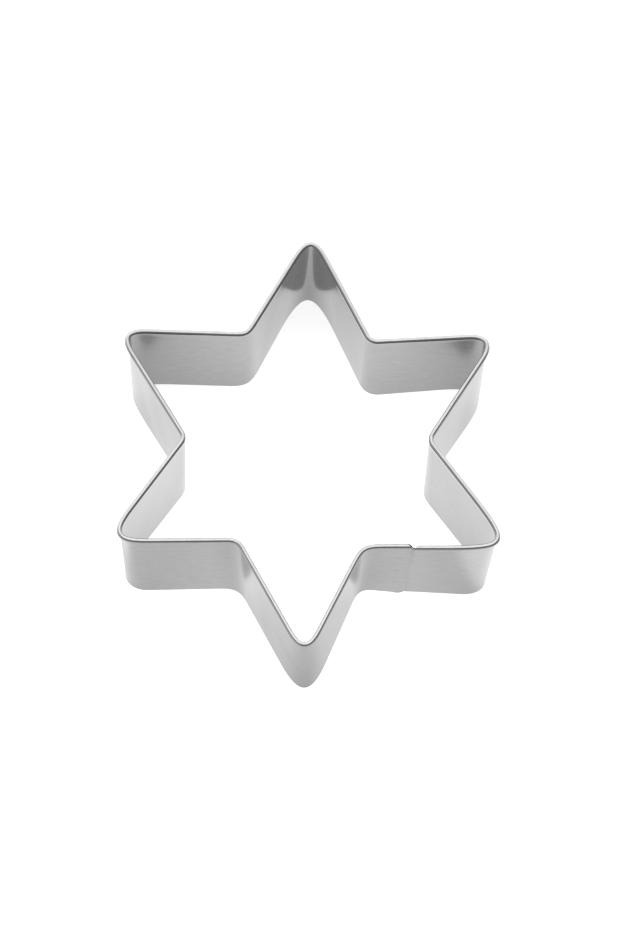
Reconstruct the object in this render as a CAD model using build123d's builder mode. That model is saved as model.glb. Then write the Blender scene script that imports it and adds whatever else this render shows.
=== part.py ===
from build123d import *
import os
from math import radians, sin, tan

# Six-pointed star cookie cutter, bent from one strip of thin steel.
# The top edge of the strip is rolled over outwards and the bottom edge cuts the dough.
# The two ends of the strip lie over each other on one wall and are spot welded.
# X runs to the right, Y away and Z up. The origin is under the middle of the star,
# level with the cutting edge.

# Overall sizes, in mm
star_radius = 40.0
cutter_height = 25.4
sheet = 0.3

# Rolled top edge: how thick the roll is, and how far it stands inside the inner face.
# The sheet is rolled so tight that the roll is solid. Flats stand in for its round.
roll_diameter = 0.8
roll_inner_stand = 0.05
roll_side_count = 12

# Bends of the strip, measured at the middle of the roll
point_bend = 2.25
valley_bend = 2.7

# Lap of the two ends, on the wall to the right of the lower right valley.
# The inner end joggles out to the wall's own line just past the outer end.
lap_end = 8.2
lap_width = 3.2
lap_gap = 0.05
joggle_start = 0.3
joggle_length = 1.0
outer_end_rounding = 1.4
inner_end_rounding = 0.7

# How far the ends stand out from the straight line between their two bends
outer_end_stand_top = -0.12
outer_end_stand_foot = 0.35
inner_run_stand_top = 0.15
inner_run_stand_foot = 0.0

# The roll is left off the inner end, and the roll's two ends are mitred to a small V
roll_notch_depth = 1.0
mitre_place = 0.62
mitre_stand = 0.47
mitre_half_angle = 45.0

# Spot welds in the lap
weld_diameter = 1.6
weld_count = 3
weld_dimple = 0.04
weld_side_count = 12

# How far a cutting shape runs past what it cuts
overrun = 0.5

# The hand-bent star is a little out of true, so each corner has its own place, before
# it is bent round, as shares of the star's radius. The foot of the strip leans from
# there by shares of the cutter's height, and its bend is a share of the bend above it.
corner_shares = [
    # right, away, leans right, leans away, bend at the foot
    (0.886, -0.4905, -0.021, 0.016, 1.08),  # lower right point
    (0.525, 0.0220, -0.024, -0.045, 1.10),  # right valley
    (0.8285, 0.5145, 0.010, 0.010, 1.10),  # upper right point
    (0.256, 0.4720, 0.000, 0.000, 0.90),  # upper right valley
    (-0.015, 1.0070, 0.000, 0.021, 1.10),  # far point
    (-0.284, 0.4995, -0.005, 0.000, 1.10),  # upper left valley
    (-0.8685, 0.5045, 0.010, 0.000, 1.05),  # upper left point
    (-0.550, 0.0095, 0.0015, -0.0175, 0.90),  # left valley
    (-0.886, -0.4855, 0.003, -0.0125, 1.10),  # lower left point
    (-0.304, -0.4705, -0.009, -0.006, 1.10),  # lower left valley
    (-0.0125, -1.0080, 0.0125, -0.012, 1.10),  # near point
    (0.241, -0.4880, -0.0125, 0.0325, 1.10),  # lower right valley
]

roll_radius = roll_diameter / 2
roll_level = cutter_height - roll_radius
roll_offset = roll_radius - sheet / 2 - roll_inner_stand
layer_pitch = sheet + lap_gap
notch_level = cutter_height - roll_notch_depth


def to_the_right(along):
    """Unit vector to the right of a direction, which is out of the star."""
    return Vector(along.Y, -along.X).normalized()


def beside(points, distance):
    """Corners of the line that runs a distance to the right of another line."""
    rights = [to_the_right(end - start) for start, end in zip(points, points[1:])]
    rights = [rights[0]] + rights + [rights[-1]]
    moved = []
    for point, before, after in zip(points, rights, rights[1:]):
        moved.append(point + (before + after) * (distance / (1 + before.dot(after))))
    return moved


def beside_bends(points, bends, distance):
    """Bends of the line that runs a distance to the right of another line."""
    moved = []
    for before, corner, after, bend in zip(points, points[1:], points[2:], bends):
        if bend is None:
            moved.append(None)
            continue
        turns_left = (corner - before).cross(after - corner).Z > 0
        moved.append(bend + distance if turns_left else bend - distance)
    return moved


def draw_bent(points, bends):
    """Draws straight runs joined by arcs, or by a sharp corner where there is no bend."""
    reached = points[0]
    for before, corner, after, bend in zip(points, points[1:], points[2:], bends):
        if bend is None:
            Line(reached, corner)
            reached = corner
            continue
        back = (before - corner).normalized()
        on = (after - corner).normalized()
        half_angle = radians(back.get_angle(on)) / 2
        bend_start = corner + back * (bend / tan(half_angle))
        bend_end = corner + on * (bend / tan(half_angle))
        middle = corner + (back + on).normalized() * (bend / sin(half_angle) - bend)
        Line(reached, bend_start)
        ThreePointArc(bend_start, middle, bend_end)
        reached = bend_end
    Line(reached, points[-1])


def strip_line(corners, outer_end_stand, inner_run_stand):
    """The strip's line from its inner end round the star to its outer end."""
    valley = corners[-1]
    along = (corners[0] - valley).normalized()
    outward = to_the_right(along)
    outer_end = valley + along * lap_end + outward * outer_end_stand
    lap_along = (outer_end - valley).normalized()
    behind = to_the_right(lap_along) * -layer_pitch
    inner_end = outer_end - lap_along * lap_width + behind
    joggle_in = outer_end + lap_along * joggle_start + behind
    joggle_reach = lap_end + joggle_start + joggle_length
    joggle_out = valley + along * joggle_reach + outward * inner_run_stand
    return [inner_end, joggle_in, joggle_out] + corners + [outer_end]


# Corners at the roll's level and at the foot, and the strip's line at each
top_corners = []
foot_corners = []
top_bends = [None, None]
foot_bends = [None, None]
for index, (right, away, leans_right, leans_away, foot_bend_share) in enumerate(corner_shares):
    corner = Vector(right, away) * star_radius
    bend = point_bend if index % 2 == 0 else valley_bend
    top_corners.append(corner)
    foot_corners.append(corner + Vector(leans_right, leans_away) * cutter_height)
    top_bends.append(bend)
    foot_bends.append(bend * foot_bend_share)

roll_run = strip_line(top_corners, outer_end_stand_top, inner_run_stand_top)
foot_run = strip_line(foot_corners, outer_end_stand_foot, inner_run_stand_foot)
top_run = beside(roll_run, -roll_offset)
top_run_bends = beside_bends(roll_run, top_bends, -roll_offset)


def draw_strip(run, bends):
    """Draws both faces and both ends of the strip, seen from above."""
    outer = beside(run, sheet / 2)
    inner = beside(run, -sheet / 2)
    draw_bent(outer, beside_bends(run, bends, sheet / 2))
    Line(outer[-1], inner[-1])
    draw_bent(inner[::-1], beside_bends(run, bends, -sheet / 2)[::-1])
    Line(inner[0], outer[0])


def lap_at(level):
    """Outer end, joggle's end and direction along the lap at a level."""
    share = level / roll_level
    outer_end = foot_run[-1] + (top_run[-1] - foot_run[-1]) * share
    valley = foot_run[-2] + (top_run[-2] - foot_run[-2]) * share
    joggle_out = foot_run[2] + (top_run[2] - foot_run[2]) * share
    return outer_end, joggle_out, (outer_end - valley).normalized()


def draw_notch(level):
    """Draws what is cut off above the inner end, up to the middle of the lap's gap."""
    outer_end, joggle_out, along = lap_at(level)
    outward = to_the_right(along)
    gap_line = outer_end - outward * (layer_pitch / 2)
    notch_start = gap_line - along * (lap_width + overrun)
    notch_step = gap_line + along * (joggle_start / 2)
    inward_reach = outward * -(layer_pitch + overrun)
    outward_reach = outward * (layer_pitch + overrun)
    Polyline(
        notch_start,
        notch_step,
        notch_step + outward_reach,
        joggle_out + outward_reach,
        joggle_out + inward_reach,
        notch_start + inward_reach,
        close=True,
    )


def lap_middle(level):
    """Point in the middle of the gap, half way along the lap, at a level."""
    outer_end, _, along = lap_at(level)
    middle = outer_end - along * (lap_width / 2) - to_the_right(along) * (layer_pitch / 2)
    return Vector(middle.X, middle.Y, level)


def lap_plane(level, shift):
    """Plane in the lap's gap, facing outwards, shifted along it from its middle."""
    along = lap_at(level)[2]
    rising = lap_middle(roll_level) - lap_middle(0)
    return Plane(
        origin=lap_middle(level) + along * shift,
        x_dir=along,
        z_dir=along.cross(rising),
    )


def weld_plane(index):
    """Plane in the lap's gap at the height of one weld."""
    return lap_plane(roll_level * (index + 1) / (weld_count + 1), 0)


def draw_corner_cut(rounding, side):
    """Draws what a rounded corner loses, with the layer on the given side of zero."""
    arc_middle = rounding * (1 - sin(radians(45)))
    Polyline(
        (side * rounding, 0),
        (side * rounding, -overrun),
        (-side * overrun, -overrun),
        (-side * overrun, rounding),
        (0, rounding),
    )
    ThreePointArc((0, rounding), (side * arc_middle, arc_middle), (side * rounding, 0))


# The roll's line, from the V in the lap round the star and back to it
valley = top_corners[-1]
along = (top_corners[0] - valley).normalized()
outward = to_the_right(along)
apex = valley + along * (lap_end + mitre_place)
roll_start = apex + outward * inner_run_stand_top
roll_end = apex + outward * outer_end_stand_top
lift = Vector(0, 0, roll_level)
with BuildLine() as roll_line:
    draw_bent([corner + lift for corner in [roll_start] + top_corners + [roll_end]], top_bends[2:])
roll_path = roll_line.wire()
roll_section = Plane(
    origin=roll_path @ 0,
    x_dir=to_the_right(roll_path % 0),
    z_dir=roll_path % 0,
)

with BuildPart() as star_band:
    # The wall, from the cutting edge up to the middle of the roll
    with BuildSketch(Plane.XY):
        with BuildLine():
            draw_strip(foot_run, foot_bends)
        make_face()
    with BuildSketch(Plane.XY.offset(roll_level)):
        with BuildLine():
            draw_strip(top_run, top_run_bends)
        make_face()
    loft(ruled=True)

    # The inner end has no roll, so that the outer end's roll can close over it
    for level in (notch_level, cutter_height):
        with BuildSketch(Plane.XY.offset(level)):
            with BuildLine():
                draw_notch(level)
            make_face()
    loft(ruled=True, mode=Mode.SUBTRACT)

    # The roll
    with BuildSketch(roll_section):
        RegularPolygon(roll_radius, roll_side_count)
    sweep(path=roll_path)

    # Both ends of the roll are mitred
    mitre_reach = roll_diameter + overrun
    mitre_side = mitre_reach * tan(radians(mitre_half_angle))
    mitre_tip = apex + outward * mitre_stand
    mitre_base = mitre_tip - outward * mitre_reach
    with BuildSketch(Plane.XY.offset(notch_level)):
        with BuildLine():
            Polyline(
                mitre_tip,
                mitre_base + along * mitre_side,
                mitre_base - along * mitre_side,
                close=True,
            )
        make_face()
    extrude(amount=roll_notch_depth + overrun, mode=Mode.SUBTRACT)

    # The lower corner of each end is rounded
    with BuildSketch(lap_plane(0, lap_width / 2)):
        with BuildLine():
            draw_corner_cut(outer_end_rounding, -1)
        make_face()
    extrude(amount=layer_pitch + overrun, mode=Mode.SUBTRACT)
    with BuildSketch(lap_plane(0, -lap_width / 2)):
        with BuildLine():
            draw_corner_cut(inner_end_rounding, 1)
        make_face()
    extrude(amount=-layer_pitch - overrun, mode=Mode.SUBTRACT)

    # Both layers are fused through at each weld
    for index in range(weld_count):
        with BuildSketch(weld_plane(index)):
            RegularPolygon(weld_diameter / 2, weld_side_count)
        extrude(amount=layer_pitch + overrun, both=True, mode=Mode.SUBTRACT)

with BuildPart() as spot_welds:
    for index in range(weld_count):
        with BuildSketch(weld_plane(index)):
            RegularPolygon(weld_diameter / 2, weld_side_count)
        extrude(amount=layer_pitch / 2 + sheet / 2 - weld_dimple, both=True)

star_band.part.label = "star_band"
spot_welds.part.label = "spot_welds"

os.makedirs("parts", exist_ok=True)
export_step(star_band.part, "parts/star_band.step")
export_step(spot_welds.part, "parts/spot_welds.step")
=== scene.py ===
import logging
import math
from dataclasses import dataclass, field
from enum import Enum

import bmesh
import bpy
from mathutils import Matrix, Vector


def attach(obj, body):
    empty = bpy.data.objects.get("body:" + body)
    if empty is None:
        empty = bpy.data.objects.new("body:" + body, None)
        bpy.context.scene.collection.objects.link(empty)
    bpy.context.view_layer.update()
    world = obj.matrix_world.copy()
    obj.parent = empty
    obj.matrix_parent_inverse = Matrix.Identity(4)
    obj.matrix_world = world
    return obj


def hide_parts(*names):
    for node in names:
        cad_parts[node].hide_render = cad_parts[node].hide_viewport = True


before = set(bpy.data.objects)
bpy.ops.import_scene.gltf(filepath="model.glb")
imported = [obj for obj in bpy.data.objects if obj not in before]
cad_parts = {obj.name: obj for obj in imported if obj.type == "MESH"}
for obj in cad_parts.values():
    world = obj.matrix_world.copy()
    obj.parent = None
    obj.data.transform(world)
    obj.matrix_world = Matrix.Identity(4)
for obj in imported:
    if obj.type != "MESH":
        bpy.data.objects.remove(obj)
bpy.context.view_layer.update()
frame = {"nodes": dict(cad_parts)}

# A six-pointed star cookie cutter of one formed steel strip with a rolled top edge.
# All sizes are in millimetres, and meshes are scaled to metres when they are finished.
# X runs to the right, Y away, Z up, and the cutting edge stands on the floor at zero.

MM = 0.001
UP = Vector((0, 0, 1))
LEVEL_SLACK = 0.01
RUN_MAP = "strip_run"
BEND_MASK = "bend_mask"
WORN_MASK = "worn_mask"
log = logging.getLogger("cookie_cutter")

# What goes into a node's input: another node's output, or a value of its own
NodeValue = bpy.types.NodeSocket | float | tuple[float, ...] | Vector
# What a bmesh operator gives back
Geometry = list[bmesh.types.BMVert | bmesh.types.BMEdge | bmesh.types.BMFace]


class Layer(Enum):
    """Which of the two strip ends in the lap a place belongs to."""

    OUTER = "outer end"
    INNER = "inner end"


class Mapping(Enum):
    """What the patterns of a finish are laid on."""

    STRIP = "the strip's own run and height"
    OBJECT = "the object's own space"


@dataclass(frozen=True)
class Bend:
    """A soft bend: how tight it is at its middle, and how far it reaches.

    The radius is that of the plain arc with the same middle, and the reach is its length
    beside that arc's.
    """

    radius: float
    reach: float

    def beside(self, distance: float) -> "Bend":
        """Gives the bend of a line beside this one.

        Args:
            distance: How much further the new line is from the bend's centre.

        Returns:
            The new line's bend.
        """
        radius = self.radius + distance
        return Bend(radius, (self.reach * self.radius + distance) / radius)


@dataclass(frozen=True)
class Corner:
    """One corner of the star, as shares of its radius and height, and its bends."""

    right: float
    away: float
    leans_right: float
    leans_away: float
    top_bend: Bend
    foot_bend: Bend

    def at_roll(self, star_radius: float) -> Vector:
        """Gives the corner's place at the level of the roll."""
        return Vector((self.right, self.away, 0)) * star_radius

    def at_foot(self, star_radius: float, height: float) -> Vector:
        """Gives the corner's place at the foot, where the wall leans to."""
        return self.at_roll(star_radius) + Vector((self.leans_right, self.leans_away, 0)) * height


STAR_CORNERS = (
    Corner(0.9002, -0.4833, -0.0254, -0.0115, Bend(2.73, 2.30), Bend(2.98, 1.20)),  # lower right point
    Corner(0.5231, 0.0145, -0.0254, -0.0276, Bend(2.24, 0.94), Bend(3.45, 1.49)),  # right valley
    Corner(0.8314, 0.5190, 0.0245, 0.0110, Bend(2.22, 1.30), Bend(3.05, 1.60)),  # upper right point
    Corner(0.2611, 0.4744, -0.0079, -0.0167, Bend(2.14, 0.95), Bend(3.26, 1.07)),  # upper right valley
    Corner(-0.0093, 0.9988, -0.0080, 0.0653, Bend(2.13, 1.53), Bend(3.35, 1.77)),  # far point
    Corner(-0.2870, 0.4993, 0.0146, -0.0046, Bend(2.50, 1.35), Bend(4.17, 1.40)),  # upper left valley
    Corner(-0.8644, 0.5067, 0.0010, -0.0043, Bend(2.13, 1.36), Bend(2.74, 1.87)),  # upper left point
    Corner(-0.5519, 0.0032, 0.0092, -0.0089, Bend(1.78, 1.12), Bend(2.73, 1.18)),  # left valley
    Corner(-0.8877, -0.4879, -0.0158, -0.0206, Bend(2.41, 1.56), Bend(3.35, 1.10)),  # lower left point
    Corner(-0.3094, -0.4706, 0.0119, -0.0097, Bend(2.65, 1.15), Bend(4.13, 1.29)),  # lower left valley
    Corner(-0.0072, -1.0061, 0.0176, -0.0391, Bend(2.09, 1.37), Bend(2.79, 1.59)),  # near point
    Corner(0.2383, -0.4884, -0.0085, 0.0316, Bend(3.63, 1.61), Bend(2.97, 1.35)),  # lower right valley
)


def smooth_step(share: float) -> float:
    """Eases a share from 0 to 1.

    Args:
        share: How far along, which is held between 0 and 1.

    Returns:
        The eased share.
    """
    held = min(max(share, 0.0), 1.0)
    return held * held * (3 - 2 * held)


def rounded_back(radius: float, level: float) -> float:
    """Finds how far a rounded foot corner cuts a sheet's end back.

    Args:
        radius: The corner's radius.
        level: The height at which the cut is wanted.

    Returns:
        The distance cut back, which is nothing above the rounding.
    """
    drop = max(radius - level, 0.0)
    return radius - math.sqrt(radius**2 - drop**2)


def to_the_right(along: Vector) -> Vector:
    """Gives the unit vector to the right of a direction, which is out of the star."""
    return Vector((along.y, -along.x, 0)).normalized()


def beside(points: list[Vector], distance: float) -> list[Vector]:
    """Finds the corners of the line that runs a distance to the right of another.

    Args:
        points: Corners of the line.
        distance: How far to the right the new line runs.

    Returns:
        The new line's corners.
    """
    rights = [to_the_right(end - start) for start, end in zip(points, points[1:])]
    rights = [rights[0], *rights, rights[-1]]
    return [
        point + (before + after) * (distance / (1 + before.dot(after)))
        for point, before, after in zip(points, rights, rights[1:])
    ]


def beside_bends(points: list[Vector], bends: list[Bend], distance: float) -> list[Bend]:
    """Finds the bends of the line that runs a distance to the right of another.

    Args:
        points: Corners of the line.
        bends: Its bend at each inner corner.
        distance: How far to the right the new line runs.

    Returns:
        The new line's bends.
    """
    moved = []
    for before, corner, after, bend in zip(points, points[1:], points[2:], bends):
        turns_left = (corner - before).cross(after - corner).z > 0
        moved.append(bend.beside(distance if turns_left else -distance))
    return moved


@dataclass(frozen=True)
class Place:
    """A place on a bent line: where it is, which way it runs, and how bent it is there."""

    spot: Vector
    along: Vector
    bent: float = 0.0


def walk_run(start: Vector, end: Vector, along: Vector, steps: int) -> list[Place]:
    """Walks along one straight run.

    Args:
        start: Where the run starts.
        end: Where it ends.
        along: Its direction.
        steps: How many steps it takes.

    Returns:
        The places after the start, up to the end.
    """
    return [Place(start.lerp(end, step / steps), along) for step in range(1, steps + 1)]


def walk_bend(before: Vector, corner: Vector, after: Vector, bend: Bend, steps: int) -> list[Place]:
    """Walks round one soft bend, a conic that touches both runs and passes the bend's middle.

    Args:
        before: A point on the run before the bend.
        corner: The sharp corner.
        after: A point on the run after the bend.
        bend: How the corner is bent.
        steps: How many steps the bend takes.

    Returns:
        The places from the bend's start to its end.
    """
    back = (before - corner).normalized()
    on = (after - corner).normalized()
    half_angle = back.angle(on) / 2
    reach = bend.reach * bend.radius / math.tan(half_angle)
    middle = bend.radius * (1 / math.sin(half_angle) - 1)
    pull = reach * math.cos(half_angle) / middle - 1
    places = []
    for step in range(steps + 1):
        share = step / steps
        left = 1 - share
        shares = (left * left, 2 * pull * left * share, share * share)
        spot = corner + (back * shares[0] + on * shares[2]) * (reach / sum(shares))
        along = on * (pull * shares[2]) - back * (pull * shares[0]) + (on - back) * (left * share)
        places.append(Place(spot, along.normalized(), math.sin(math.pi * share)))
    return places


def walk_bent_line(
    points: list[Vector], bends: list[Bend], run_steps: list[int], bend_steps: int
) -> list[Place]:
    """Walks along straight runs joined by soft bends.

    Args:
        points: The line's corners before they are bent round.
        bends: The bend at each inner corner.
        run_steps: How many steps each straight run takes.
        bend_steps: How many steps each bend takes.

    Returns:
        The places on the way, from the line's start to its end.
    """
    places = [Place(points[0], (points[1] - points[0]).normalized())]
    corners = zip(points, points[1:], points[2:], bends, run_steps)
    for before, corner, after, bend, steps in corners:
        bent = walk_bend(before, corner, after, bend, bend_steps)
        places.extend(walk_run(places[-1].spot, bent[0].spot, bent[0].along, steps))
        places.extend(bent[1:])
    reached = places[-1].spot
    along = (points[-1] - reached).normalized()
    return places + walk_run(reached, points[-1], along, run_steps[-1])


def verts_of(geometry: Geometry) -> list[bmesh.types.BMVert]:
    """Picks the vertices out of what an operator gives back."""
    return [item for item in geometry if isinstance(item, bmesh.types.BMVert)]


def faces_of(geometry: Geometry) -> list[bmesh.types.BMFace]:
    """Picks the faces out of what an operator gives back."""
    return [item for item in geometry if isinstance(item, bmesh.types.BMFace)]


def put_in_scene(shape: bmesh.types.BMesh, name: str) -> bpy.types.Object:
    """Makes an object of the scene from a finished bmesh, which is freed.

    Args:
        shape: The bmesh, in metres.
        name: The object's name, and its mesh's.

    Returns:
        The object.
    """
    mesh = bpy.data.meshes.new(name)
    shape.to_mesh(mesh)
    shape.free()
    made = bpy.data.objects.new(name, mesh)
    bpy.context.scene.collection.objects.link(made)
    return made


@dataclass
class StripSizes:
    """Named sizes of the formed strip, as in the part's source but for roll and dimples."""

    star_radius: float = 40.0
    cutter_height: float = 25.4
    sheet: float = 0.3
    # An open curl, a little thicker than the solids' full roll
    roll_diameter: float = 0.92
    roll_inner_stand: float = 0.05
    lap_end: float = 8.2
    lap_width: float = 3.2
    lap_gap: float = 0.05
    joggle_start: float = 0.3
    joggle_length: float = 1.0
    outer_end_rounding: float = 1.4
    inner_end_rounding: float = 0.7
    outer_end_stand_top: float = -0.12
    outer_end_stand_foot: float = 0.35
    inner_run_stand_top: float = 0.15
    inner_run_stand_foot: float = 0.0
    roll_notch_depth: float = 1.0
    mitre_place: float = 0.62
    mitre_stand: float = 0.47
    weld_diameter: float = 1.6
    weld_count: int = 3
    # Shallower than in the solids, because the photograph hardly shows them
    weld_dimple: float = 0.012

    @property
    def roll_radius(self) -> float:
        """Radius of the rolled edge."""
        return self.roll_diameter / 2

    @property
    def roll_level(self) -> float:
        """Height of the roll's middle."""
        return self.cutter_height - self.roll_radius

    @property
    def roll_offset(self) -> float:
        """How far the roll's middle lies outside the middle of the sheet."""
        return self.roll_radius - self.sheet / 2 - self.roll_inner_stand

    @property
    def layer_pitch(self) -> float:
        """Distance between the middles of the two layers in the lap."""
        return self.sheet + self.lap_gap

    @property
    def notch_level(self) -> float:
        """Height of the inner end's upper edge, below the roll."""
        return self.cutter_height - self.roll_notch_depth

    @property
    def joggle_out(self) -> float:
        """Where the joggle ends, from the lap's valley corner."""
        return self.lap_end + self.joggle_start + self.joggle_length

    @property
    def inner_end(self) -> float:
        """Where the inner layer ends, from the lap's valley corner."""
        return self.lap_end - self.lap_width

    @property
    def mitre_apex(self) -> float:
        """Where the roll's two mitres meet, from the lap's valley corner."""
        return self.lap_end + self.mitre_place

    @property
    def weld_distance(self) -> float:
        """Where the welds stand, from the lap's valley corner."""
        return self.lap_end - self.lap_width / 2

    def weld_level(self, index: int) -> float:
        """Height of one weld's middle."""
        return self.roll_level * (index + 1) / (self.weld_count + 1)

    def in_the_roll(self, level: float) -> bool:
        """Tells whether a height is above the notch, where only the roll goes on."""
        return level > self.notch_level + LEVEL_SLACK


@dataclass(frozen=True)
class Station:
    """A place along the strip where its section stands.

    The section's own axes are out of the star, along the strip, and up the wall.
    """

    frame: Matrix
    run: float
    bent: float


@dataclass
class LevelLine:
    """The strip's line at one level, the foot's or the roll's, and how its ends lie there."""

    sizes: StripSizes
    corners: list[Vector]
    bends: list[Bend]
    outer_end_stand: float
    inner_run_stand: float
    sheet_inset: float

    @property
    def valley(self) -> Vector:
        """The lap wall's sharp valley corner."""
        return self.corners[-1]

    @property
    def along(self) -> Vector:
        """The lap wall's direction, away from its valley."""
        return (self.corners[0] - self.valley).normalized()

    @property
    def outward(self) -> Vector:
        """The lap wall's way out of the star."""
        return to_the_right(self.along)

    @property
    def outer_end(self) -> Vector:
        """Where the outer layer ends."""
        return self.valley + self.along * self.sizes.lap_end + self.outward * self.outer_end_stand

    def inner_run_at(self, distance: float) -> Vector:
        """Gives a place on the inner end's wall line, carried on past its joggle.

        Args:
            distance: Distance from the sharp valley corner.

        Returns:
            The place.
        """
        reach = self.sizes.joggle_out
        joggle_out = self.valley + self.along * reach + self.outward * self.inner_run_stand
        heading = (self.corners[0] - joggle_out).normalized()
        return joggle_out + heading * (distance - reach)

    def behind_at(self, distance: float) -> Vector:
        """Gives a place on the line of the inner layer, behind the outer end.

        Args:
            distance: Distance from the sharp valley corner.

        Returns:
            The place.
        """
        heading = (self.outer_end - self.valley).normalized()
        return self.valley + heading * distance - to_the_right(heading) * self.sizes.layer_pitch

    def joggled_at(self, distance: float) -> Vector:
        """Gives the place of the sheet's middle in the joggle and behind the outer end.

        Args:
            distance: Distance from the sharp valley corner.

        Returns:
            The place.
        """
        share = smooth_step((self.sizes.joggle_out - distance) / self.sizes.joggle_length)
        spot = self.inner_run_at(distance).lerp(self.behind_at(distance), share)
        return spot - self.outward * self.sheet_inset

    def sheet_line(self, start: float) -> tuple[list[Vector], list[Bend]]:
        """Gives the line of the sheet's middle, from past the joggle to the outer end.

        Args:
            start: Distance of its start from the sharp valley corner.

        Returns:
            The line's corners, and its bends at the inner ones.
        """
        line = [self.inner_run_at(start), *self.corners, self.outer_end]
        return beside(line, -self.sheet_inset), beside_bends(line, self.bends, -self.sheet_inset)


@dataclass
class StripRoute:
    """Where the strip runs, between its line at the foot and its line at the roll."""

    sizes: StripSizes
    corners: tuple[Corner, ...] = STAR_CORNERS
    run_step: float = 1.2
    steps_in_bends: int = 2
    bend_steps: int = 16
    lap_step: float = 0.24
    joggle_step: float = 0.18
    start_margin: float = 0.1
    foot: LevelLine = field(init=False)
    roll: LevelLine = field(init=False)

    def __post_init__(self) -> None:
        """Draws the line at both levels."""
        size = self.sizes
        self.foot = LevelLine(
            sizes=size,
            corners=[item.at_foot(size.star_radius, size.cutter_height) for item in self.corners],
            bends=[item.foot_bend for item in self.corners],
            outer_end_stand=size.outer_end_stand_foot,
            inner_run_stand=size.inner_run_stand_foot,
            sheet_inset=0.0,
        )
        self.roll = LevelLine(
            sizes=size,
            corners=[item.at_roll(size.star_radius) for item in self.corners],
            bends=[item.top_bend for item in self.corners],
            outer_end_stand=size.outer_end_stand_top,
            inner_run_stand=size.inner_run_stand_top,
            sheet_inset=size.roll_offset,
        )

    @property
    def start(self) -> float:
        """Where the route starts, just past the joggle, from the lap's valley corner."""
        return self.sizes.joggle_out + self.start_margin

    def station(self, foot: Place, top: Place, run: float) -> Station:
        """Stands a section between its place at the foot and its place at the roll.

        Args:
            foot: Place of the sheet's middle at the foot.
            top: Place of the sheet's middle at the roll's level.
            run: Distance along the strip.

        Returns:
            The station.
        """
        along = (foot.along + top.along).normalized()
        rise = (top.spot - foot.spot) / self.sizes.roll_level + UP
        axes = Matrix((to_the_right(along), along, rise)).transposed().to_4x4()
        return Station(Matrix.Translation(foot.spot) @ axes, run, top.bent)

    def round_the_star(self) -> list[Station]:
        """Walks from just past the joggle round the star to the outer end.

        Returns:
            The stations on the way.
        """
        top_line, top_bends = self.roll.sheet_line(self.start)
        foot_line, foot_bends = self.foot.sheet_line(self.start)
        steps = [
            max(0, round((end - begin).length / self.run_step) - self.steps_in_bends)
            for begin, end in zip(top_line, top_line[1:])
        ]
        steps[-1] = round(self.sizes.lap_end / self.lap_step)
        tops = walk_bent_line(top_line, top_bends, steps, self.bend_steps)
        feet = walk_bent_line(foot_line, foot_bends, steps, self.bend_steps)
        run = 0.0
        stations = [self.station(feet[0], tops[0], run)]
        for before, foot, top in zip(tops, feet[1:], tops[1:]):
            run += (top.spot - before.spot).length
            stations.append(self.station(foot, top, run))
        return stations

    def back_through_the_joggle(self) -> list[Station]:
        """Walks from just past the joggle back behind the outer end to the inner end.

        Returns:
            The stations on the way, without the first.
        """
        reach = self.sizes.inner_end - self.start
        count = round(-reach / self.joggle_step)
        distances = [self.start + reach * step / count for step in range(count + 1)]
        stations = []
        for before, here in zip(distances, distances[1:]):
            feet = [self.foot.joggled_at(distance) for distance in (before, here)]
            tops = [self.roll.joggled_at(distance) for distance in (before, here)]
            foot = Place(feet[1], (feet[0] - feet[1]).normalized())
            top = Place(tops[1], (tops[0] - tops[1]).normalized())
            stations.append(self.station(foot, top, here - self.start))
        return stations


@dataclass
class StripSection:
    """The strip's section: a flat wall whose top edge is rolled over outwards."""

    sizes: StripSizes
    foot_levels: tuple[float, ...] = (0.0, 0.15, 0.4, 0.8, 1.4, 2.1)
    level_step: float = 1.1
    weld_level_step: float = 0.2
    weld_reach: float = 1.0
    neck_steps: int = 3
    curl_angle: float = 268.0
    curl_steps: int = 30

    def wall_levels(self) -> list[float]:
        """Lists the heights at which the wall's section has an edge.

        Returns:
            The heights, from the foot to the upper edge of the inner end.
        """
        size = self.sizes
        start = self.foot_levels[-1]
        rise = size.notch_level - start
        count = round(rise / self.level_step)
        levels = {*self.foot_levels, *(start + rise * (step / count) for step in range(1, count + 1))}
        welds = [size.weld_level(index) for index in range(size.weld_count)]
        levels = {
            level for level in levels if all(abs(level - weld) > self.weld_reach for weld in welds)
        }
        side_steps = round(self.weld_reach / self.weld_level_step)
        for weld in welds:
            for step in range(-side_steps, side_steps + 1):
                levels.add(weld + step * self.weld_level_step)
        return sorted(levels)

    def draw(self, shape: bmesh.types.BMesh) -> None:
        """Draws the section as a row of faces.

        Args:
            shape: The bmesh that gets the section.
        """
        size = self.sizes
        half = size.sheet / 2
        inner = shape.verts.new((-half, 0, 0))
        outer = shape.verts.new((half, 0, 0))
        edge = shape.edges.new((inner, outer))
        steps = [(level, 0.0) for level in self.wall_levels()[1:]]
        for step in range(1, self.neck_steps + 1):
            share = step / self.neck_steps
            level = size.notch_level + (size.roll_level - size.notch_level) * share
            steps.append((level, -size.roll_inner_stand * smooth_step(share)))
        reached = Vector((0, 0, 0))
        for level, shift in steps:
            target = Vector((shift, 0, level))
            grown = bmesh.ops.extrude_edge_only(shape, edges=[edge])["geom"]
            verts = verts_of(grown)
            bmesh.ops.translate(shape, verts=verts, vec=target - reached)
            edge = next(
                item
                for item in grown
                if isinstance(item, bmesh.types.BMEdge) and all(v in verts for v in item.verts)
            )
            reached = target
        bmesh.ops.spin(
            shape,
            geom=[edge, *edge.verts],
            cent=(size.roll_offset, 0, size.roll_level),
            axis=(0, 1, 0),
            angle=math.radians(self.curl_angle),
            steps=self.curl_steps,
            use_merge=False,
            use_duplicate=False,
        )


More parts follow.
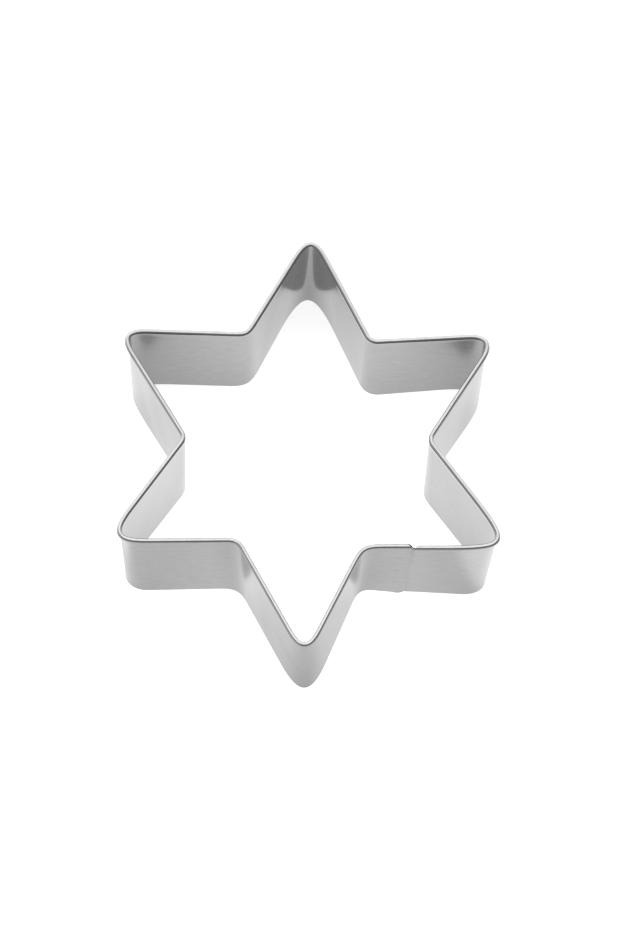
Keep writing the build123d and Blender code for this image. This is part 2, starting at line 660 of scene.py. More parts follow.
@dataclass(frozen=True)
class GrainValues:
    """How the rolled sheet's grain shows in one finish."""

    lines_per_metre: float
    stretch: float
    depth: float
    roughness_swing: float
    tone_swing: float


@dataclass(frozen=True)
class SteelFinish:
    """A finish of bare bright steel."""

    name: str
    mapping: Mapping
    colour: tuple[float, float, float]
    roughness: float
    grain: GrainValues
    colour_swing: float
    worn_roughness: float


SATIN_STEEL = SteelFinish(
    name="satin_steel",
    mapping=Mapping.STRIP,
    colour=(0.27, 0.27, 0.273),
    roughness=0.16,
    grain=GrainValues(
        lines_per_metre=5200.0, stretch=0.4, depth=0.02, roughness_swing=0.05, tone_swing=0.08
    ),
    colour_swing=0.06,
    worn_roughness=0.16,
)

WELD_STEEL = SteelFinish(
    name="weld_steel",
    mapping=Mapping.OBJECT,
    colour=(0.26, 0.26, 0.262),
    roughness=0.20,
    grain=GrainValues(
        lines_per_metre=4000.0, stretch=1.0, depth=0.03, roughness_swing=0.08, tone_swing=0.10
    ),
    colour_swing=0.10,
    worn_roughness=0.20,
)


class NodeBoard:
    """A node tree with short ways to add its nodes and to join them."""

    def __init__(self, tree: bpy.types.NodeTree) -> None:
        """Keeps the tree's nodes and links."""
        self.nodes = tree.nodes
        self.links = tree.links

    def feed(self, entry: bpy.types.NodeSocket, value: NodeValue) -> None:
        """Joins another node's output to an input, or sets the input.

        Args:
            entry: The input.
            value: The output that is joined to it, or its own value.
        """
        if isinstance(value, bpy.types.NodeSocket):
            self.links.new(value, entry)
        else:
            entry.default_value = value

    def add(self, kind: str, values: dict[str | int, NodeValue] | None = None) -> bpy.types.Node:
        """Adds a node.

        Args:
            kind: The node's type.
            values: What goes into its inputs, by their names or numbers.

        Returns:
            The node.
        """
        node = self.nodes.new(kind)
        for name, value in (values or {}).items():
            self.feed(node.inputs[name], value)
        return node

    def add_group(self, tree: bpy.types.NodeTree, values: dict[str, NodeValue]) -> bpy.types.Node:
        """Adds a node group.

        Args:
            tree: The group's own tree.
            values: What goes into its inputs, by their names.

        Returns:
            The group's node.
        """
        node = self.add("ShaderNodeGroup")
        node.node_tree = tree
        for name, value in values.items():
            self.feed(node.inputs[name], value)
        return node

    def number(self, operation: str, *values: NodeValue) -> bpy.types.NodeSocket:
        """Adds a sum of numbers.

        Args:
            operation: What is worked out.
            values: What it is worked out from, in order.

        Returns:
            The result.
        """
        node = self.add("ShaderNodeMath")
        node.operation = operation
        for entry, value in zip(node.inputs, values):
            self.feed(entry, value)
        return node.outputs["Value"]

    def product(self, first: NodeValue, second: NodeValue) -> bpy.types.NodeSocket:
        """Adds a product of two vectors.

        Args:
            first: One vector.
            second: The other.

        Returns:
            The product.
        """
        node = self.add("ShaderNodeVectorMath", {0: first, 1: second})
        node.operation = "MULTIPLY"
        return node.outputs["Vector"]

    def ramp(
        self,
        value: bpy.types.NodeSocket,
        span: tuple[float, float] = (0.0, 1.0),
        result: tuple[float, float] = (0.0, 1.0),
        eased: bool = False,
    ) -> bpy.types.NodeSocket:
        """Adds a ramp from one span of values to another.

        Args:
            value: What is followed.
            span: Where the ramp starts and ends.
            result: What it gives there and beyond.
            eased: Whether it starts and ends softly.

        Returns:
            The result.
        """
        node = self.add("ShaderNodeMapRange", {"Value": value})
        node.inputs["From Min"].default_value, node.inputs["From Max"].default_value = span
        node.inputs["To Min"].default_value, node.inputs["To Max"].default_value = result
        node.interpolation_type = "SMOOTHSTEP" if eased else "LINEAR"
        return node.outputs["Result"]

    def noise(
        self, place: NodeValue, scale: NodeValue, detail: float, roughness: float
    ) -> bpy.types.NodeSocket:
        """Adds a noise pattern.

        Args:
            place: Where on the piece.
            scale: How fine it is.
            detail: How many finer layers it has.
            roughness: How strong those are.

        Returns:
            The pattern's value.
        """
        values = {"Vector": place, "Scale": scale, "Detail": detail, "Roughness": roughness}
        return self.add("ShaderNodeTexNoise", values).outputs["Fac"]

    def attribute(self, name: str) -> bpy.types.NodeSocket:
        """Adds the reading of one of the mesh's own masks.

        Args:
            name: The mask's name.

        Returns:
            Its value.
        """
        node = self.add("ShaderNodeAttribute")
        node.attribute_name = name
        return node.outputs["Fac"]


@dataclass
class ShadeGroups:
    """Shader node groups that both finishes use."""

    # Grain: a fine noise and a coarser one, and the sums of both where the mask starts and ends
    fine_detail: float = 3.0
    fine_roughness: float = 0.6
    fine_share: float = 0.55
    coarse_detail: float = 2.0
    coarse_roughness: float = 0.5
    coarse_scale: float = 0.22
    mask_span: tuple[float, float] = (0.5, 1.05)
    # Handling: soft clouds, and long hairlines that show only where the clouds are thick
    cloud_detail: float = 4.0
    cloud_roughness: float = 0.55
    hairline_scale: float = 4.0
    hairline_stretch: tuple[float, float, float] = (0.06, 1.0, 1.0)
    hairline_width: float = 0.012
    thick_clouds: tuple[float, float] = (0.52, 0.62)
    rolled_grain: bpy.types.NodeTree = field(init=False)
    handling_marks: bpy.types.NodeTree = field(init=False)

    def __post_init__(self) -> None:
        """Builds both groups."""
        self.rolled_grain = self._build_rolled_grain()
        self.handling_marks = self._build_handling_marks()

    @staticmethod
    def _start_group(
        name: str, numbers: tuple[str, ...], results: tuple[str, ...]
    ) -> bpy.types.NodeTree:
        """Starts a group that reads a place and some numbers and gives numbers.

        Args:
            name: The group's name.
            numbers: Names of its number inputs.
            results: Names of its outputs.

        Returns:
            The group, with its sockets but without nodes.
        """
        group = bpy.data.node_groups.new(name, "ShaderNodeTree")
        new_socket = group.interface.new_socket
        new_socket("Place", in_out="INPUT", socket_type="NodeSocketVector")
        for number in numbers:
            new_socket(number, in_out="INPUT", socket_type="NodeSocketFloat")
        for result in results:
            new_socket(result, in_out="OUTPUT", socket_type="NodeSocketFloat")
        return group

    def _build_rolled_grain(self) -> bpy.types.NodeTree:
        """Builds the fine lines that the mill leaves along a rolled sheet.

        Returns:
            A group with a place, a density and a stretch as inputs, and a mask and a height
            as outputs.
        """
        group = self._start_group("rolled_grain", ("Lines", "Stretch"), ("Mask", "Height"))
        board = NodeBoard(group)
        entry = board.add("NodeGroupInput").outputs
        stretch = board.add("ShaderNodeCombineXYZ", {"X": entry["Stretch"], "Y": 1.0, "Z": 1.0})
        place = board.product(entry["Place"], stretch.outputs["Vector"])
        fine = board.noise(place, entry["Lines"], self.fine_detail, self.fine_roughness)
        coarse_lines = board.number("MULTIPLY", entry["Lines"], self.coarse_scale)
        coarse = board.noise(place, coarse_lines, self.coarse_detail, self.coarse_roughness)
        height = board.number("MULTIPLY_ADD", fine, self.fine_share, coarse)
        mask = board.ramp(height, self.mask_span)
        board.add("NodeGroupOutput", {"Mask": mask, "Height": height})
        return group

    def _build_handling_marks(self) -> bpy.types.NodeTree:
        """Builds the faint clouds and hairline scratches that handling leaves.

        Returns:
            A group with a place and a scale as inputs, and a cloud and a scratch mask.
        """
        group = self._start_group("handling_marks", ("Scale",), ("Cloud", "Scratch"))
        board = NodeBoard(group)
        entry = board.add("NodeGroupInput").outputs
        cloud = board.noise(
            entry["Place"], entry["Scale"], self.cloud_detail, self.cloud_roughness
        )
        drawn_out = board.product(entry["Place"], self.hairline_stretch)
        finer = board.number("MULTIPLY", entry["Scale"], self.hairline_scale)
        cells = board.add("ShaderNodeTexVoronoi")
        cells.feature = "DISTANCE_TO_EDGE"
        board.feed(cells.inputs["Vector"], drawn_out)
        board.feed(cells.inputs["Scale"], finer)
        hairline = board.ramp(cells.outputs["Distance"], (0.0, self.hairline_width), (1.0, 0.0))
        scratch = board.number("MULTIPLY", hairline, board.ramp(cloud, self.thick_clouds))
        board.add("NodeGroupOutput", {"Cloud": cloud, "Scratch": scratch})
        return group


@dataclass
class SteelPaint:
    """Makes the procedural materials of the steel finishes."""

    groups: ShadeGroups
    marks_scale: float = 55.0
    scratch_roughness: float = 0.12
    bend_roughness: float = 0.05
    bump_strength: float = 0.25

    def material(self, finish: SteelFinish) -> bpy.types.Material:
        """Builds one steel material.

        Args:
            finish: Colours and numbers of the finish.

        Returns:
            The material.
        """
        paint = bpy.data.materials.new(finish.name)
        paint.use_nodes = True
        board = NodeBoard(paint.node_tree)
        board.nodes.clear()
        place = self._mapped(board, finish.mapping)
        grain = board.add_group(
            self.groups.rolled_grain,
            {
                "Place": place,
                "Lines": finish.grain.lines_per_metre,
                "Stretch": finish.grain.stretch,
            },
        )
        marks = board.add_group(
            self.groups.handling_marks, {"Place": place, "Scale": self.marks_scale}
        )
        bump = board.add(
            "ShaderNodeBump",
            {
                "Strength": self.bump_strength,
                "Distance": finish.grain.depth * MM,
                "Height": grain.outputs["Height"],
            },
        )
        steel = board.add(
            "ShaderNodeBsdfPrincipled",
            {
                "Metallic": 1.0,
                "Base Color": self._tone(board, finish, grain, marks),
                "Roughness": self._roughness(board, finish, grain, marks),
                "Normal": bump.outputs["Normal"],
            },
        )
        board.add("ShaderNodeOutputMaterial", {"Surface": steel.outputs["BSDF"]})
        return paint

    @staticmethod
    def _mapped(board: NodeBoard, mapping: Mapping) -> bpy.types.NodeSocket:
        """Adds the coordinates that a finish is laid on.

        Args:
            board: The material's nodes.
            mapping: What the patterns follow.

        Returns:
            The coordinates.
        """
        if mapping is Mapping.OBJECT:
            return board.add("ShaderNodeTexCoord").outputs["Object"]
        run = board.add("ShaderNodeUVMap")
        run.uv_map = RUN_MAP
        return run.outputs["UV"]

    @staticmethod
    def _tone(
        board: NodeBoard, finish: SteelFinish, grain: bpy.types.Node, marks: bpy.types.Node
    ) -> bpy.types.NodeSocket:
        """Adds the steel's colour, which swings with its clouds and with its grain.

        Args:
            board: The material's nodes.
            finish: Colours and numbers of the finish.
            grain: The rolled grain.
            marks: The marks of handling.

        Returns:
            The colour.
        """
        factors = [
            board.ramp(pattern, result=(1.0 - swing, 1.0 + swing))
            for pattern, swing in (
                (marks.outputs["Cloud"], finish.colour_swing),
                (grain.outputs["Mask"], finish.grain.tone_swing),
            )
        ]
        tinted = board.add("ShaderNodeVectorMath", {0: finish.colour})
        tinted.operation = "SCALE"
        board.feed(tinted.inputs["Scale"], board.number("MULTIPLY", *factors))
        return tinted.outputs["Vector"]

    def _roughness(
        self,
        board: NodeBoard,
        finish: SteelFinish,
        grain: bpy.types.Node,
        marks: bpy.types.Node,
    ) -> bpy.types.NodeSocket:
        """Adds the roughness: grain, scratches and strained bends, less on worn edges.

        Args:
            board: The material's nodes.
            finish: Colours and numbers of the finish.
            grain: The rolled grain.
            marks: The marks of handling.

        Returns:
            The roughness.
        """
        roughest = finish.roughness + finish.grain.roughness_swing
        rough = board.ramp(grain.outputs["Mask"], result=(finish.roughness, roughest))
        for mask, added in (
            (marks.outputs["Scratch"], self.scratch_roughness),
            (board.attribute(BEND_MASK), self.bend_roughness),
        ):
            rough = board.number("MULTIPLY_ADD", mask, added, rough)
        polished = board.add(
            "ShaderNodeMix",
            {"Factor": board.attribute(WORN_MASK), "A": rough, "B": finish.worn_roughness},
        )
        return polished.outputs["Result"]


@dataclass(frozen=True)
class LapSpot:
    """A station's place in the lap: on which layer, and how far from the valley corner."""

    layer: Layer
    distance: float


@dataclass
class LapShape:
    """How the strip's ends are shaped in the lap: mitres, roundings, V and weld dimples."""

    sizes: StripSizes
    # From here on, the points of the outer end move along the strip to give it its shape
    warp_start: float = 6.2
    mitre_reach: float = 0.04
    shortest_roll_start: float = 0.02
    # The V under the mitre, in the inner layer's upper edge
    dip_depth: float = 1.5
    dip_half_width: float = 0.75
    dip_reach: float = 4.0
    dimple_ramp_share: float = 0.2

    def move(self, flat: Vector, spot: LapSpot) -> tuple[float, float, float]:
        """Moves a point of the section to where the lap needs it.

        Args:
            flat: The point in the section.
            spot: Where in the lap the section stands.

        Returns:
            The point, out of the sheet's middle, along the strip and up the wall.
        """
        out, _, level = flat
        if spot.layer is Layer.OUTER:
            shift = self._outer_end_shift(out, level, spot.distance)
            dent = -self._dimple(spot.distance + shift, level) if out > 0 else 0.0
            return out + dent, shift, level
        shift = self._inner_end_shift(level, spot.distance)
        dent = self._dimple(spot.distance + shift, level) if out < 0 else 0.0
        return out + dent, shift, level - self._notch_dip(level, spot.distance)

    def roll_start(self, flat: Vector, start: float) -> Vector:
        """Moves a point of the roll's section back to the mitre over the lap.

        Args:
            flat: The point in the section.
            start: Distance of the route's first station from the valley corner.

        Returns:
            The point, from that station.
        """
        size = self.sizes
        out, _, level = flat
        reach = out - size.roll_offset + size.inner_run_stand_top
        apex = size.mitre_apex
        place = max(apex + (size.mitre_stand - reach) + self.mitre_reach, apex)
        lifted = max(level, size.roll_level - size.roll_radius)
        return Vector((out, min(place - start, -self.shortest_roll_start), lifted))

    def _outer_end_shift(self, out: float, level: float, distance: float) -> float:
        """Finds how far a point near the outer end moves along, to shape that end.

        Args:
            out: How far out of the sheet's middle the point is.
            level: Its height.
            distance: Its distance from the valley corner.

        Returns:
            The move along the strip.
        """
        size = self.sizes
        if distance <= self.warp_start:
            return 0.0
        if size.in_the_roll(level):
            reach = out - size.roll_offset + size.outer_end_stand_top
            end = size.mitre_apex - (size.mitre_stand - reach) - self.mitre_reach
        else:
            end = size.lap_end - rounded_back(size.outer_end_rounding, level)
        share = (end - self.warp_start) / (size.lap_end - self.warp_start)
        return (distance - self.warp_start) * (share - 1)

    def _inner_end_shift(self, level: float, distance: float) -> float:
        """Finds how far a point near the inner end moves along, to round its foot.

        Args:
            level: Its height.
            distance: Its distance from the valley corner.

        Returns:
            The move along the strip.
        """
        reach = 2 * self.sizes.inner_end_rounding
        share = max((self.sizes.inner_end + reach - distance) / reach, 0.0)
        return rounded_back(self.sizes.inner_end_rounding, level) * share

    def _notch_dip(self, level: float, distance: float) -> float:
        """Finds how far the V under the mitre takes the inner layer's upper edge down.

        Args:
            level: Height of the point on the wall.
            distance: Its distance from the valley corner.

        Returns:
            The drop.
        """
        share = max(0.0, 1 - abs(distance - self.sizes.mitre_apex) / self.dip_half_width)
        near_top = (level - self.sizes.notch_level) / self.dip_reach + 1
        return self.dip_depth * share * max(0.0, near_top)

    def _dimple(self, distance: float, level: float) -> float:
        """Finds how deep the welding tips have pressed a point of the lap.

        Args:
            distance: Its distance from the valley corner.
            level: Its height.

        Returns:
            The depth.
        """
        size = self.sizes
        ramp = size.weld_diameter * self.dimple_ramp_share
        depth = 0.0
        for index in range(size.weld_count):
            away = math.hypot(distance - size.weld_distance, level - size.weld_level(index))
            share = (size.weld_diameter / 2 - away) / ramp
            depth = max(depth, size.weld_dimple * smooth_step(share))
        return depth


@dataclass(frozen=True)
class Waviness:
    """How hand bending has left the walls out of flat: a long wave and a shorter one."""

    height: float = 0.03
    # Turns and slant are in radians per millimetre
    long_wave_turn: float = 0.33
    long_wave_start: float = 0.8
    short_wave_turn: float = 0.71
    short_wave_slant: float = 0.12
    short_wave_share: float = 0.6
    fullness: float = 0.8
    lap_calm: float = 8.0

    def out_of_flat(self, run: float, lap_run: float, level: float, top: float) -> float:
        """Finds how far a point of the wall is out of flat.

        Args:
            run: Distance along the strip.
            lap_run: Distance along the strip at which the lap's wall starts.
            level: Height on the wall.
            top: Height at which the wall is flat again, as at its foot.

        Returns:
            The distance out of flat.
        """
        rise = min(max(level / top, 0), 1)
        fade = math.sin(math.pi * rise**self.fullness) if rise < 1 else 0.0
        long_wave = math.sin(run * self.long_wave_turn + self.long_wave_start)
        short_wave = math.sin(run * self.short_wave_turn + level * self.short_wave_slant)
        waves = long_wave + self.short_wave_share * short_wave
        calm = smooth_step(run / self.lap_calm) * smooth_step((lap_run - run) / self.lap_calm)
        return self.height * fade * waves * calm


@dataclass
class GrowingStrip:
    """The strip's bmesh while it grows, and what its vertices know of the section."""

    shape: bmesh.types.BMesh
    flats: list[Vector]
    number: bmesh.types.BMLayerItem
    run: bmesh.types.BMLayerItem
    bent: bmesh.types.BMLayerItem

    @classmethod
    def from_section(cls, section: StripSection) -> "GrowingStrip":
        """Starts the strip with its section.

        Args:
            section: The section.

        Returns:
            The strip, with its section as its only faces.
        """
        shape = bmesh.new()
        section.draw(shape)
        number = shape.verts.layers.int.new("number")
        run = shape.verts.layers.float.new("run")
        bent = shape.verts.layers.float.new(BEND_MASK)
        shape.verts.index_update()
        for vert in shape.verts:
            vert[number] = vert.index
        return cls(shape, [vert.co.copy() for vert in shape.verts], number, run, bent)

    def flat(self, vert: bmesh.types.BMVert) -> Vector:
        """Gives a vertex's place in the section."""
        return self.flats[vert[self.number]]

    def grow(self, faces: list[bmesh.types.BMFace]) -> Geometry:
        """Extrudes faces of the section.

        Args:
            faces: The faces.

        Returns:
            The new vertices, edges and faces, which are still where the old ones are.
        """
        edges = dict.fromkeys(edge for face in faces for edge in face.edges)
        verts = dict.fromkeys(vert for face in faces for vert in face.verts)
        return bmesh.ops.extrude_face_region(self.shape, geom=[*faces, *edges, *verts])["geom"]


@dataclass
class FormedStrip:
    """The star's formed strip, rolled at the top, with its two ends lapped."""

    sizes: StripSizes
    waviness: Waviness = Waviness()
    # How far from the valley corner the stations start to take the lap's shape
    lap_shape_start: float = 3.2
    edge_break: float = 0.03
    cut_angle: float = 60.0
    shortest_cut: float = 0.02
    sharp_angle: float = 40.0
    worn_roll_rise: float = 0.1
    worn_foot_height: float = 0.35
    worn_fade: float = 0.3
    lap: LapShape = field(init=False)
    lap_run: float = field(init=False, default=0.0)

    def __post_init__(self) -> None:
        """Takes the lap's shape from the same sizes."""
        self.lap = LapShape(self.sizes)

    def _stand(self, station: Station, flat: Vector, spot: LapSpot | None) -> Vector:
        """Finds where a point of the section stands at a station.

        Args:
            station: The station.
            flat: The point in the section.
            spot: Where in the lap the station is, or none away from the lap.

        Returns:
            The point's place.
        """
        out, shift, level = self.lap.move(flat, spot) if spot else (flat.x, 0.0, flat.z)
        out += self.waviness.out_of_flat(station.run, self.lap_run, level, self.sizes.roll_level)
        return station.frame @ Vector((out, shift, level))

    def _carry(
        self,
        strip: GrowingStrip,
        faces: list[bmesh.types.BMFace],
        station: Station,
        spot: LapSpot | None,
    ) -> list[bmesh.types.BMFace]:
        """Extrudes the section's faces on to a station.

        Args:
            strip: The strip so far.
            faces: The faces that end it.
            station: Where they go on to.
            spot: Where in the lap the station is, or none away from the lap.

        Returns:
            The faces that now end the strip.
        """
        grown = strip.grow(faces)
        for vert in verts_of(grown):
            vert.co = self._stand(station, strip.flat(vert), spot)
            vert[strip.run] = station.run
            vert[strip.bent] = station.bent
        return faces_of(grown)

    def build(self) -> bpy.types.Object:
        """Builds the strip's mesh from its section, carried from station to station.

        Returns:
            The finished object.
        """
        size = self.sizes
        route = StripRoute(size)
        strip = GrowingStrip.from_section(StripSection(size))
        shape = strip.shape
        section_faces = list(shape.faces)
        stations = route.round_the_star()
        self.lap_run = stations[-1].run - size.lap_end

        for vert in shape.verts:
            vert.co = self._stand(stations[0], strip.flat(vert), None)
        cap = section_faces
        for station in stations[1:]:
            distance = station.run - self.lap_run
            in_lap = distance > self.lap_shape_start
            spot = LapSpot(Layer.OUTER, distance) if in_lap else None
            cap = self._carry(strip, cap, station, spot)

        # The roll's start, mitred, and the plain inner end behind the outer one
        roll_faces = [
            face
            for face in section_faces
            if size.in_the_roll(max(strip.flat(vert).z for vert in face.verts))
        ]
        cap = [face for face in section_faces if face not in roll_faces]
        for station in route.back_through_the_joggle():
            spot = LapSpot(Layer.INNER, route.start + station.run)
            cap = self._carry(strip, cap, station, spot)
        for vert in verts_of(strip.grow(roll_faces)):
            vert.co = stations[0].frame @ self.lap.roll_start(strip.flat(vert), route.start)

        bmesh.ops.recalc_face_normals(shape, faces=list(shape.faces))
        self._break_edges(shape)
        self._map_strip(strip)
        bmesh.ops.scale(shape, verts=list(shape.verts), vec=(MM, MM, MM))
        return put_in_scene(shape, "star_strip")

    def _break_edges(self, shape: bmesh.types.BMesh) -> None:
        """Breaks the sheet's cut edges and marks what stays sharp.

        Args:
            shape: The strip's bmesh.
        """
        cut = [
            edge
            for edge in shape.edges
            if edge.is_manifold
            and edge.calc_face_angle() > math.radians(self.cut_angle)
            and edge.calc_length() > self.shortest_cut
        ]
        bmesh.ops.bevel(
            shape,
            geom=cut,
            offset=self.edge_break,
            offset_type="OFFSET",
            segments=2,
            profile=0.5,
            affect="EDGES",
            material=-1,
            clamp_overlap=True,
        )
        for face in shape.faces:
            face.smooth = True
        for edge in shape.edges:
            if edge.is_manifold and edge.calc_face_angle() > math.radians(self.sharp_angle):
                edge.smooth = False

    def _map_strip(self, strip: GrowingStrip) -> None:
        """Lays the strip out flat in its own map, in metres, and marks its worn edges.

        Args:
            strip: The strip.
        """
        uv = strip.shape.loops.layers.uv.new(RUN_MAP)
        worn = strip.shape.verts.layers.float.new(WORN_MASK)
        worn_from = self.sizes.roll_level + self.worn_roll_rise
        for vert in strip.shape.verts:
            near_roll = smooth_step((vert.co.z - worn_from) / self.worn_fade)
            near_foot = smooth_step((self.worn_foot_height - vert.co.z) / self.worn_fade)
            vert[worn] = max(near_roll, near_foot)
        for face in strip.shape.faces:
            for loop in face.loops:
                loop[uv].uv = (loop.vert[strip.run] * MM, loop.vert.co.z * MM)

    def dress(self, piece: bpy.types.Object, paint: SteelPaint) -> None:
        """Gives the strip its finish and its place in the frame.

        Args:
            piece: The strip.
            paint: Maker of the steel materials.
        """
        piece.data.materials.append(paint.material(SATIN_STEEL))
        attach(piece, "root")
        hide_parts("star_band")


@dataclass
class SpotWelds:
    """The spot welds that hold the lap."""

    sizes: StripSizes
    turn_steps: int = 32
    nugget_share: float = 0.72
    proud: float = 0.003
    merge_distance: float = 0.0005
    # Profile from the middle of a weld's face to its rim: share of radius, rise
    face_profile: tuple[tuple[float, float], ...] = (
        (0.0, -0.004),
        (0.25, -0.003),
        (0.5, 0.0),
        (0.68, 0.001),
        (0.8, 0.001),
        (0.92, -0.001),
        (1.0, -0.005),
    )

    def _stand(self, stations: list[Station], level: float) -> Matrix:
        """Finds how a weld stands square on the outer layer, which is a little twisted.

        Args:
            stations: Stations of the strip, up to its outer end.
            level: The weld's height.

        Returns:
            The matrix that takes a weld from the origin to its place.
        """
        spot = Vector((0, 0, level))
        end = stations[-1].frame @ spot
        along = (end - stations[-2].frame @ spot).normalized()
        rise = stations[-1].frame.to_3x3().col[2].normalized()
        outward = along.cross(rise).normalized()
        axes = Matrix((outward, along, outward.cross(along))).transposed().to_4x4()
        place = end + along * (self.sizes.weld_distance - self.sizes.lap_end)
        return Matrix.Translation(place) @ axes

    def _turn_nugget(self, shape: bmesh.types.BMesh) -> None:
        """Turns one nugget with its two dished faces, at the origin.

        Args:
            shape: The bmesh that gets the nugget.
        """
        size = self.sizes
        radius = size.weld_diameter / 2 * self.nugget_share
        outer_face = size.sheet / 2 - size.weld_dimple + self.proud
        inner_face = -size.layer_pitch - outer_face
        profile = [(share * radius, outer_face + rise) for share, rise in self.face_profile]
        for share, rise in reversed(self.face_profile):
            profile.append((share * radius, inner_face - rise))
        chain = [shape.verts.new((out, away, 0)) for away, out in profile]
        edges = [shape.edges.new(pair) for pair in zip(chain, chain[1:])]
        bmesh.ops.spin(
            shape,
            geom=[*chain, *edges],
            cent=(0, 0, 0),
            axis=(1, 0, 0),
            angle=math.tau,
            steps=self.turn_steps,
            use_merge=True,
            use_duplicate=False,
        )
        bmesh.ops.remove_doubles(shape, verts=list(shape.verts), dist=self.merge_distance)

    def build(self) -> bpy.types.Object:
        """Builds the welds as dished nuggets through both layers.

        Returns:
            The finished object.
        """
        shape = bmesh.new()
        self._turn_nugget(shape)
        nugget = [*shape.verts, *shape.edges, *shape.faces]
        stations = StripRoute(self.sizes).round_the_star()
        for index in range(self.sizes.weld_count):
            place = self._stand(stations, self.sizes.weld_level(index))
            copy = bmesh.ops.duplicate(shape, geom=nugget)["geom"]
            bmesh.ops.transform(shape, verts=verts_of(copy), matrix=place)
        bmesh.ops.delete(shape, geom=verts_of(nugget))
        bmesh.ops.recalc_face_normals(shape, faces=list(shape.faces))
        for face in shape.faces:
            face.smooth = True
        bmesh.ops.scale(shape, verts=list(shape.verts), vec=(MM, MM, MM))
        return put_in_scene(shape, "weld_nuggets")

    def dress(self, piece: bpy.types.Object, paint: SteelPaint) -> None:
        """Gives the welds their finish and their place in the frame.

        Args:
            piece: The welds.
            paint: Maker of the steel materials.
        """
        piece.data.materials.append(paint.material(WELD_STEEL))
        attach(piece, "root")
        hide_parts("spot_welds")


def grey(value: float) -> tuple[float, float, float, float]:
    """Gives a plain grey of one value."""
    return value, value, value, 1.0


@dataclass(frozen=True)
class FloorPool:
    """A round pool of light on the floor, which fades between two radii."""

    spot: tuple[float, float, float]
    fades_from: float
    fades_to: float
    gain: float


@dataclass(frozen=True)
class RoomGlow:
    """Light of one side of the room: the direction's share where it starts and is full."""

    starts: float
    full: float
    gain: float


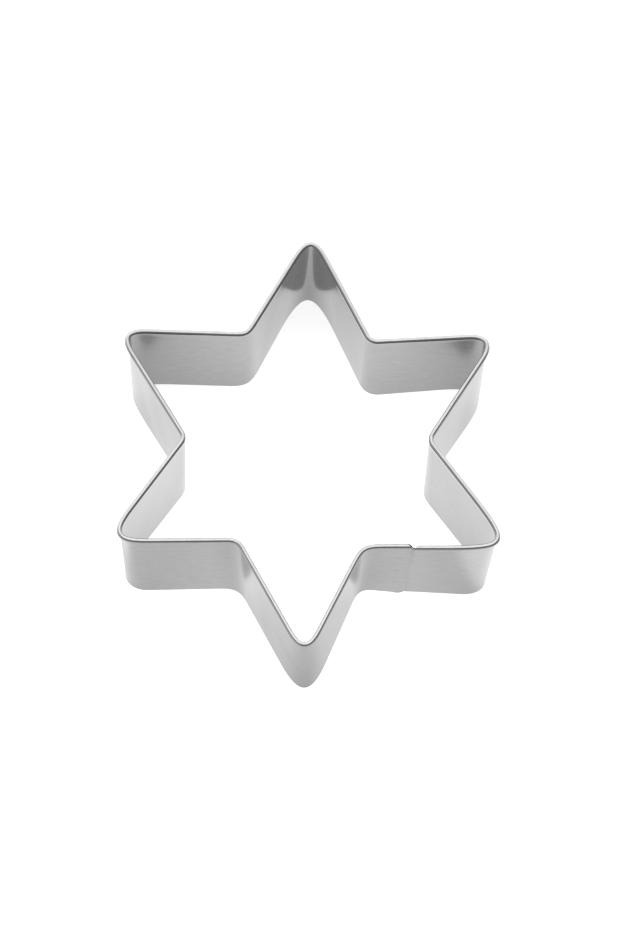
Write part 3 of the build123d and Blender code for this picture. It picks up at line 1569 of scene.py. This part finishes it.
@dataclass
class Studio:
    """Pale floor, soft light overhead and the camera at the photograph's angle."""

    elevation: float = 69.70
    azimuth: float = -1.411
    roll: float = 2.432
    distance: float = 867.7
    aim: tuple[float, float, float] = (0.28, 4.72, 0.0)
    focal_pixels: float = 4777.0
    picture_height: float = 930.0
    sensor_width: float = 36.0
    clip_near: float = 10.0
    clip_far: float = 50000.0
    floor_reach: float = 14000.0
    # The floor bounces light on to the cutter, but its own light makes it white where it is seen
    floor_bounce: float = 0.8
    floor_grey: float = 0.38
    floor_glow: float = 0.85
    floor_pools: tuple[FloorPool, ...] = (
        FloorPool((0.0, -6.0, 0.0), 18.0, 40.0, 0.34),
        FloorPool((44.5, -31.0, 0.0), 14.5, 18.5, 0.4),
        FloorPool((-47.0, -26.0, 0.0), 5.0, 14.0, 0.8),
    )
    # Seen only in reflections
    near_shade: FloorPool = FloorPool((0.0, -27.0, 0.0), 9.0, 18.5, -0.28)
    lamp_spot: tuple[float, float, float] = (0.0, 100.0, 1200.0)
    lamp_side: float = 800.0
    lamp_power: float = 4.6
    # The room is dark by the camera, and bright beyond the cutter and to its left
    room_dark: float = 0.45
    room_away: RoomGlow = RoomGlow(-0.15, 0.95, 2.8)
    room_left: RoomGlow = RoomGlow(-0.1, -0.95, 0.6)

    def camera(self) -> None:
        """Stands the camera where the photograph was taken from."""
        rise, turn, tilt = (math.radians(a) for a in (self.elevation, self.azimuth, self.roll))
        toward = Vector((math.sin(turn), -math.cos(turn), 0))
        back = toward * math.cos(rise) + UP * math.sin(rise)
        right = Vector((math.cos(turn), math.sin(turn), 0))
        up = back.cross(right)
        right_rolled = right * math.cos(tilt) + up * math.sin(tilt)
        up_rolled = up * math.cos(tilt) - right * math.sin(tilt)
        lens = bpy.data.cameras.new("photo_camera")
        lens.sensor_fit = "AUTO"
        lens.sensor_width = self.sensor_width
        lens.lens = self.focal_pixels * self.sensor_width / self.picture_height
        lens.clip_start = self.clip_near * MM
        lens.clip_end = self.clip_far * MM
        eye = bpy.data.objects.new("photo_camera", lens)
        axes = Matrix((right_rolled, up_rolled, back)).transposed().to_4x4()
        spot = (Vector(self.aim) + back * self.distance) * MM
        eye.matrix_world = Matrix.Translation(spot) @ axes
        bpy.context.scene.collection.objects.link(eye)
        bpy.context.scene.camera = eye

    def floor(self) -> None:
        """Lays the plain white floor, which keeps the object's shadow."""
        shape = bmesh.new()
        bmesh.ops.create_grid(shape, x_segments=2, y_segments=2, size=self.floor_reach * MM)
        ground = put_in_scene(shape, "floor")
        paper = bpy.data.materials.new("white_paper")
        paper.use_nodes = True
        ground.data.materials.append(paper)
        board = NodeBoard(paper.node_tree)
        board.nodes.clear()
        paths = board.add("ShaderNodeLightPath").outputs
        seen = board.number("MAXIMUM", paths["Is Camera Ray"], paths["Is Glossy Ray"])
        seen = board.number("MAXIMUM", seen, paths["Is Transmission Ray"])
        bounce = board.add("ShaderNodeBsdfDiffuse", {"Color": grey(self.floor_bounce)})
        shaded = board.add("ShaderNodeBsdfDiffuse", {"Color": grey(self.floor_grey)})
        light = self._floor_light(board, paths["Is Glossy Ray"])
        glow = board.add("ShaderNodeEmission", {"Strength": light})
        white = board.add(
            "ShaderNodeAddShader", {0: shaded.outputs["BSDF"], 1: glow.outputs["Emission"]}
        )
        chosen = board.add(
            "ShaderNodeMixShader",
            {0: seen, 1: bounce.outputs["BSDF"], 2: white.outputs["Shader"]},
        )
        board.add("ShaderNodeOutputMaterial", {"Surface": chosen.outputs["Shader"]})

    @staticmethod
    def _pool(board: NodeBoard, pool: FloorPool) -> bpy.types.NodeSocket:
        """Adds a round pool of light or shade on the floor.

        Args:
            board: The floor's nodes.
            pool: The pool.

        Returns:
            What the pool adds.
        """
        where = board.add("ShaderNodeTexCoord").outputs["Object"]
        away = board.add("ShaderNodeVectorMath", {0: where, 1: Vector(pool.spot) * MM})
        away.operation = "DISTANCE"
        span = (pool.fades_from * MM, pool.fades_to * MM)
        return board.ramp(away.outputs["Value"], span, (pool.gain, 0.0), eased=True)

    def _floor_light(
        self, board: NodeBoard, reflected: bpy.types.NodeSocket
    ) -> bpy.types.NodeSocket:
        """Adds the floor's own light, with its pools and the near point's shade.

        Args:
            board: The floor's nodes.
            reflected: Whether the floor is seen in a reflection.

        Returns:
            The light's strength.
        """
        light: NodeValue = self.floor_glow
        for pool in self.floor_pools:
            light = board.number("ADD", self._pool(board, pool), light)
        return board.number("MULTIPLY_ADD", self._pool(board, self.near_shade), reflected, light)

    def lamp(self) -> None:
        """Hangs the soft lamp overhead."""
        lamp = bpy.data.lights.new("softbox", "AREA")
        lamp.shape = "SQUARE"
        lamp.size = self.lamp_side * MM
        lamp.energy = self.lamp_power
        holder = bpy.data.objects.new("softbox", lamp)
        holder.location = Vector(self.lamp_spot) * MM
        bpy.context.scene.collection.objects.link(holder)

    def room(self) -> None:
        """Lights the room, each side as its glow says."""
        room = bpy.data.worlds.new("room")
        bpy.context.scene.world = room
        room.use_nodes = True
        board = NodeBoard(room.node_tree)
        board.nodes.clear()
        where = board.add("ShaderNodeTexCoord").outputs["Generated"]
        parts = board.add("ShaderNodeSeparateXYZ", {"Vector": where}).outputs
        light: NodeValue = self.room_dark
        for part, glow in (("X", self.room_left), ("Y", self.room_away)):
            added = board.ramp(parts[part], (glow.starts, glow.full), (0.0, glow.gain), eased=True)
            light = board.number("ADD", added, light)
        sky = board.add("ShaderNodeBackground", {"Color": grey(1.0), "Strength": light})
        board.add("ShaderNodeOutputWorld", {"Surface": sky.outputs["Background"]})

    def set_up(self) -> None:
        """Builds the whole studio."""
        self.camera()
        self.floor()
        self.lamp()
        self.room()
        bpy.context.scene.view_settings.view_transform = "Standard"


def main() -> None:
    """Builds the cutter's pieces in order and reports each of them."""
    logging.basicConfig(level=logging.INFO, format="%(name)s: %(message)s")
    Studio().set_up()
    sizes = StripSizes()
    paint = SteelPaint(ShadeGroups())
    for maker in (FormedStrip(sizes), SpotWelds(sizes)):
        piece = maker.build()
        maker.dress(piece, paint)
        log.info("%s has %d faces", piece.name, len(piece.data.polygons))
    bpy.context.view_layer.update()


if __name__ == "__main__":
    main()
